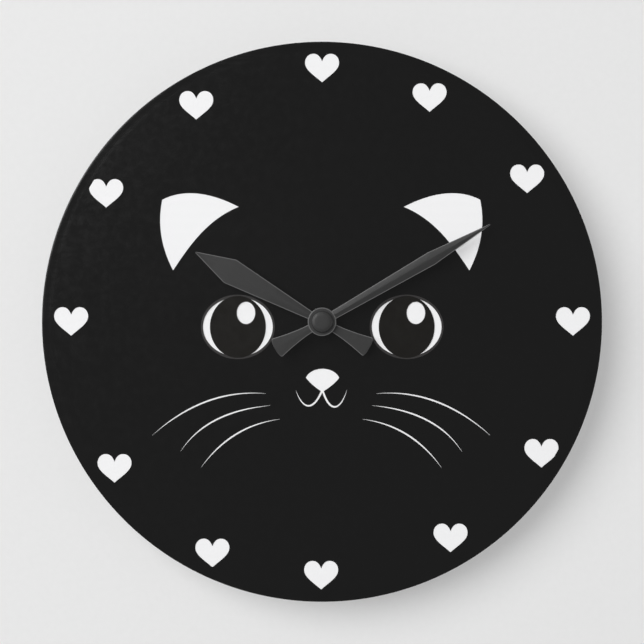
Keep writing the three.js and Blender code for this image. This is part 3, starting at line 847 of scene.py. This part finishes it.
def rear_cover():
    """The cover with its well, engraved turning arrows, polarity marks and a sunk panel."""
    plastic = LOOKS["case_plastic"]
    cover = eased("rear_cover", 0.3, plastic)
    panel = cut_sheet("panel_tool", [rounded_box(*PANEL, 1.2)], -PANEL_DEPTH, 1, plastic)
    boolean(cover, panel, "DIFFERENCE")
    rim = [(7.25, -0.3), (8.0, 0.3), (7.0, 0.3), (6.3, -0.3)]
    boolean(cover, turned("chamfer_tool", rim, plastic, KNOB_AT, 96), "DIFFERENCE")
    marks = [
        turning_arrow(96, 141), turning_arrow(84, 39),
        plus_outline(23.1, -7.2, 1.5, 0.3), bar_outline(-23.4, -7.2, 1.3, 0.3),
    ]
    boolean(cover, cut_sheet("mark_tool", marks, -MARK_DEPTH, 1, plastic), "DIFFERENCE")
    for i, mark in enumerate(marks):
        fill = cut_sheet(f"cover_mark_{i}", [mark], -0.4, -0.28, MARK_PAINT)
        place(fill, "frame", "case_plastic", "rear_cover")
    return cover


def case_front():
    """The case, its edges eased, with fine grooves beside the battery's thumb notch."""
    plastic = LOOKS["case_plastic"]
    case = eased("case_front", 0.35, plastic)
    for side in (-1, 1):
        for i in range(GROOVE_COUNT):
            x = side * (GROOVE_START + GROOVE_PITCH * i)
            groove = block("groove_tool", x - 0.3, x + 0.3, -13, -3, -29.5, -28.3, 0.08, plastic)
            boolean(case, groove, "DIFFERENCE")
    return case


def cell():
    """The cell: a drawn can with a rolled end and a raised terminal, in a printed sleeve."""
    r, x0, x1 = CELL["r"], CELL["x0"], CELL["x1"]
    at = (CELL["y"], CELL["z"])
    can = [
        (0, x0 + 0.15), (4.6, x0 + 0.15), (5.0, x0), (6.35, x0), (6.8, x0 + 0.25), (6.9, x0 + 0.7),
        (6.9, x1 - 0.7),
        (6.8, x1 - 0.25), (6.3, x1), (5.2, x1 - 0.05), (4.8, x1 - 0.35), (3.3, x1 - 0.35), (2.85, x1 - 0.1),
        (2.75, x1 + 0.3), (2.72, x1 + 0.9), (2.45, x1 + 1.15), (0, x1 + 1.2),
    ]
    drawn = turned("cell_can_fine", can, LOOKS["cell_metal"], at, 96, "X", 40)
    place(drawn, "cell", "cell_metal", "cell_can")
    a, b, band = x0 + 0.55, x1 - 0.55, x1 - CELL_BAND
    sleeve = [
        (r - 0.34, a - 0.15), (r - 0.1, a), (r, a + 0.3), (r, band), (r, b - 0.3), (r - 0.1, b),
        (r - 0.34, b + 0.15), (r - 0.34, band),
    ]
    label = turned("cell_label_fine", sleeve, LOOKS["cell_label"], at, 96, "X", 40)
    label.data.materials.append(CELL_STRIPE)
    for p in label.data.polygons:
        if p.center.x / MM > band:
            p.material_index = 1
    place(label, "cell", "cell_label", "cell_label")
    y, z = at
    plus = plus_outline(x1 - 4.4, z, 1.6, 0.36)
    minus = bar_outline(x0 + 4.4, z, 1.4, 0.36)
    for name, outline in (("cell_plus", plus), ("cell_minus", minus)):
        mark = cut_sheet(name, [outline], y + r - 0.2, y + r + 0.03, MARK_PAINT)
        place(mark, "cell", "cell_label", "cell_label")


def positive_contact():
    """A pressed steel strap with a dimple for the cell, running up to the board."""
    steel = LOOKS["sheet_steel"]
    strap = block("positive_contact_fine", 25.9, 26.3, -11, -4.2, -24.5, -13.6, 0.12, steel)
    dimple = [(0, 25.66), (1.2, 25.7), (2.0, 25.85), (2.4, 26.0), (0, 26.0)]
    boolean(strap, turned("dimple_tool", dimple, steel, (CELL["y"], CELL["z"]), 48, "X"), "UNION")
    boolean(strap, block("riser_tool", 25.9, 26.3, -9, -5.4, -14.2, 21.5, 0.12, steel), "UNION")
    boolean(strap, block("tab_tool", 23.4, 26.2, -5.9, -5.4, 19.6, 21.5, 0.12, steel), "UNION")
    return strap


def negative_contact():
    """A steel plate, its conical spring wound from round wire, and the strap up to the board."""
    steel = LOOKS["sheet_steel"]
    x, y, z = -26.4, CELL["y"], CELL["z"]
    plate = block("negative_contact_fine", x, x + 0.4, -11, -4.2, -24.5, -13.6, 0.12, steel)
    boolean(plate, block("riser_tool", x, x + 0.4, -9, -5.4, -14.2, 25.1, 0.12, steel), "UNION")
    boolean(plate, block("tab_tool", x + 0.2, 8.6, -5.8, -5.45, 24.1, 24.9, 0.1, steel), "UNION")
    coil = []
    for i in range(SPRING_STEPS + 1):
        t = i / SPRING_STEPS
        radius = 3.0 - 1.5 * t
        a = 2 * math.pi * SPRING_TURNS * t
        along = x + 0.62 + 1.28 * max(0.0, min(1.0, (t - 0.12) / 0.7))
        coil.append((along, y + radius * math.cos(a), z + radius * math.sin(a)))
    spring = swept("negative_spring", coil, 0.24, steel)
    place(spring, "frame", "sheet_steel", "negative_contact")
    return plate


def fittings():
    """The turned, pressed and moulded pieces round the shaft, with their edges eased."""
    for node, body, slot, edge in (
        ("bushing", "frame", "brass", 0.12), ("nut_washer", "frame", "brass", 0.12),
        ("hex_nut", "frame", "brass", 0.3), ("dial_washer", "frame", "rubber", 0.2),
        ("circuit_board", "frame", "board", 0.08), ("train_plate", "frame", "gear_plastic", 0.12),
        ("stator", "frame", "sheet_steel", 0.08), ("coil_bobbin", "frame", "gear_plastic", 0.1),
    ):
        place(eased(node, edge, LOOKS[slot]), body, slot, node, flat=True)


# ---- Light, wall, floor and camera ---------------------------------------------------------


def stage_material(name, colour, one_sided, glow=0.0):
    look = Look(name, Roughness=0.85, Specular_IOR_Level=0.1, Emission_Strength=glow)
    look.shader.inputs["Emission Color"].default_value = (1, 1, 1, 1)
    look.colour(look.tones(look.noise(3.0, 4), shade(colour, 0.992), shade(colour, 1.008)))
    look.relief(look.noise(1.2, 3), 0.03)
    if one_sided:
        tree = look.tree
        clear = tree.nodes.new("ShaderNodeBsdfTransparent")
        mix = tree.nodes.new("ShaderNodeMixShader")
        side = tree.nodes.new("ShaderNodeNewGeometry")
        tree.links.new(side.outputs["Backfacing"], mix.inputs[0])
        tree.links.new(look.shader.outputs[0], mix.inputs[1])
        tree.links.new(clear.outputs[0], mix.inputs[2])
        tree.links.new(mix.outputs[0], tree.nodes["Material Output"].inputs["Surface"])
    return look.material


def stage_plane(name, corners, material, shadow):
    mesh = bpy.data.meshes.new(name)
    mesh.from_pydata(corners, [], [(0, 1, 2, 3)])
    mesh.materials.append(material)
    plane = link(name, mesh)
    plane.visible_glossy = False
    plane.visible_diffuse = False
    plane.visible_shadow = shadow
    return plane


def softbox(name, position, target, size, energy, glossy=True):
    data = bpy.data.lights.new(name, "AREA")
    data.shape = "DISK"
    data.size = size
    data.energy = energy
    light = link(name, data)
    light.location = position
    aim = Vector(target) - Vector(position)
    light.rotation_euler = aim.to_track_quat("-Z", "Y").to_euler()
    light.visible_glossy = glossy
    light.visible_camera = False
    return light


def spherical(distance, azimuth, from_normal):
    """A place in front of the wall: azimuth counter-clockwise from the right, seen from the front."""
    a, t = math.radians(azimuth), math.radians(from_normal)
    across = distance * math.sin(t)
    return (across * math.cos(a), -distance * math.cos(t), across * math.sin(a))


WALL_COLOUR = (0.84, 0.84, 0.84)
WALL_Y = 0.0005
FLOOR_Z = -0.62
CAMERA_GAP = 0.8719  # from the dial's face to the camera
CAMERA_DROP = -0.00012
KEY = {"distance": 3.5, "azimuth": 150, "tilt": 38, "size": 2.9, "energy": 69.5}
FRONT_FILL = {"azimuth": 150, "tilt": 3, "strength": 1.31, "angle": 5.0}
AMBIENT = 0.14
FLOOR_GLOW = 0.3  # keeps the floor pale where the lights fall off


def studio():
    wall = stage_material("wall_paint", WALL_COLOUR, True)
    wall_corners = [(-3, WALL_Y, FLOOR_Z), (3, WALL_Y, FLOOR_Z), (3, WALL_Y, 3), (-3, WALL_Y, 3)]
    stage_plane("wall", wall_corners, wall, False)
    floor = stage_material("floor_paint", WALL_COLOUR, True, glow=FLOOR_GLOW)
    floor_corners = [(-6, -8, FLOOR_Z), (6, -8, FLOOR_Z), (6, 8, FLOOR_Z), (-6, 8, FLOOR_Z)]
    stage_plane("floor", floor_corners, floor, False)

    key_at = spherical(KEY["distance"], KEY["azimuth"], KEY["tilt"])
    softbox("key", key_at, (0, 0, 0), KEY["size"], KEY["energy"])
    sun = bpy.data.lights.new("front_fill", "SUN")
    sun.energy = FRONT_FILL["strength"]
    sun.angle = math.radians(FRONT_FILL["angle"])
    lamp = link("front_fill", sun)
    aim = -Vector(spherical(1, FRONT_FILL["azimuth"], FRONT_FILL["tilt"]))
    lamp.rotation_euler = aim.to_track_quat("-Z", "Y").to_euler()
    lamp.visible_glossy = False

    softbox("back_left", (1.3, 1.2, 0.9), (0, 0, 0), 1.0, 22)
    softbox("back_right", (-1.4, 0.9, 0.2), (0, 0, 0), 0.9, 11)
    softbox("side", (1.6, 0.12, -0.2), (0, 0, 0), 0.8, 7)
    softbox("behind", (0, 1.9, 1.7), (0, 2.4, FLOOR_Z), 2.4, 30, glossy=False)

    world = bpy.data.worlds.new("studio")
    bpy.context.scene.world = world
    world.use_nodes = True
    tree = world.node_tree
    plain = tree.nodes["Background"]
    plain.inputs["Color"].default_value = (1, 1, 1, 1)
    plain.inputs["Strength"].default_value = AMBIENT
    seen = tree.nodes.new("ShaderNodeBackground")
    seen.inputs["Color"].default_value = (0.80, 0.80, 0.80, 1)
    mix = tree.nodes.new("ShaderNodeMixShader")
    ray = tree.nodes.new("ShaderNodeLightPath")
    tree.links.new(ray.outputs["Is Camera Ray"], mix.inputs[0])
    tree.links.new(plain.outputs[0], mix.inputs[1])
    tree.links.new(seen.outputs[0], mix.inputs[2])
    tree.links.new(mix.outputs[0], tree.nodes["World Output"].inputs["Surface"])


def camera():
    data = bpy.data.cameras.new("camera")
    data.lens = 100
    data.sensor_width = 36
    cam = link("camera", data)
    cam.location = (0, -0.022 - CAMERA_GAP, CAMERA_DROP)
    cam.rotation_euler = (math.radians(90), 0, 0)
    bpy.context.scene.camera = cam
    bpy.context.scene.view_settings.view_transform = "Standard"


# ---- Building it ---------------------------------------------------------------------------

camera()
studio()
dress_cad_nodes()

place(dial_disc(), "frame", "dial_acrylic", "dial_disc")
place(white_print(), "frame", "print_white", "print_white")
place(black_print(), "frame", "print_black", "print_black")
for side, x in EYES.items():
    eye_print(side, x)

place(hand_piece("hour_hand_fine", HOUR, 2.75), "hour", "hand_metal", "hour_hand")
place(hand_piece("minute_hand_fine", MINUTE, 1.75), "minute", "hand_metal", "minute_hand")
place(hand_cap(), "minute", "hand_metal", "hand_cap")

place(case_front(), "frame", "case_plastic", "case_front", flat=True)
place(rear_cover(), "frame", "case_plastic", "rear_cover", flat=True)
place(knob(), "setting", "knob_plastic", "setting_knob", flat=True)
cell()
place(positive_contact(), "frame", "sheet_steel", "positive_contact", flat=True)
place(negative_contact(), "frame", "sheet_steel", "negative_contact", flat=True)
fittings()
